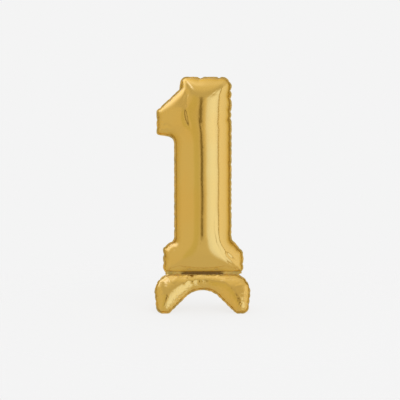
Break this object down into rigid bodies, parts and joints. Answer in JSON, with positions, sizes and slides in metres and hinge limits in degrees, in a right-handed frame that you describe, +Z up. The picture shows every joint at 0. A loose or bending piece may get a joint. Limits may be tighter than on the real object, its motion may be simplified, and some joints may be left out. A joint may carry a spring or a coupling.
{
  "type": "foil number balloon",
  "caption": "Self-standing air-filled foil balloon shaped as a digit 1, on an inflated base of two splayed arched lobes with straw inlets at the back.",
  "frame": {"origin": "on the floor under the middle of the balloon, at the bottom centre of its bounding box", "axes": "+Z up; the front of the digit faces -Y; the flag of the digit 1 points to -X, so the digit reads correctly from -Y"},
  "size_m": [0.2622, 0.1656, 0.64],
  "materials": {
    "gold_foil": "mirror-bright satin gold metallised film, finely puckered along its welds",
    "welded_foil_edge": "flat crimped gold film, a little duller where it is heat-sealed",
    "inlet_tab_foil": "flat soft gold film with a heat-sealed channel",
    "valve_film": "clear thin polyethylene film"
  },
  "bodies": {
    "digit": {"digit_front_foil": "gold_foil", "digit_rear_foil": "gold_foil", "digit_edge_weld": "welded_foil_edge", "waist_weld": "welded_foil_edge", "digit_valve_front_film": "valve_film", "digit_valve_rear_film": "valve_film"},
    "front_lobe": {"front_lobe_outer_foil": "gold_foil", "front_lobe_inner_foil": "gold_foil", "front_lobe_edge_weld": "welded_foil_edge"},
    "rear_lobe": {"rear_lobe_outer_foil": "gold_foil", "rear_lobe_inner_foil": "gold_foil", "rear_lobe_edge_weld": "welded_foil_edge", "base_valve_outer_film": "valve_film", "base_valve_inner_film": "valve_film"},
    "digit_tab": {"digit_inlet_tab": "inlet_tab_foil"},
    "base_tab": {"base_inlet_tab": "inlet_tab_foil"}
  },
  "joints": [
    {"name": "front_lobe_splay", "type": "hinge", "parent": "digit", "child": "front_lobe", "pos_m": [0, -0.0015, 0.098], "axis": [-1, 0, 0], "range_deg": [-4, 10], "stiffness_Nm_per_rad": 0.6},
    {"name": "rear_lobe_splay", "type": "hinge", "parent": "digit", "child": "rear_lobe", "pos_m": [0, 0.0015, 0.098], "axis": [1, 0, 0], "range_deg": [-4, 10], "stiffness_Nm_per_rad": 0.6},
    {"name": "digit_tab_lift", "type": "hinge", "parent": "digit", "child": "digit_tab", "pos_m": [-0.034, 0.0017, 0.1018], "axis": [1, 0, 0], "range_deg": [-6, 6], "stiffness_Nm_per_rad": 0.0004},
    {"name": "base_tab_lift", "type": "hinge", "parent": "digit", "child": "base_tab", "pos_m": [0.034, 0.0017, 0.1018], "axis": [1, 0, 0], "range_deg": [-6, 6], "stiffness_Nm_per_rad": 0.0004}
  ]
}
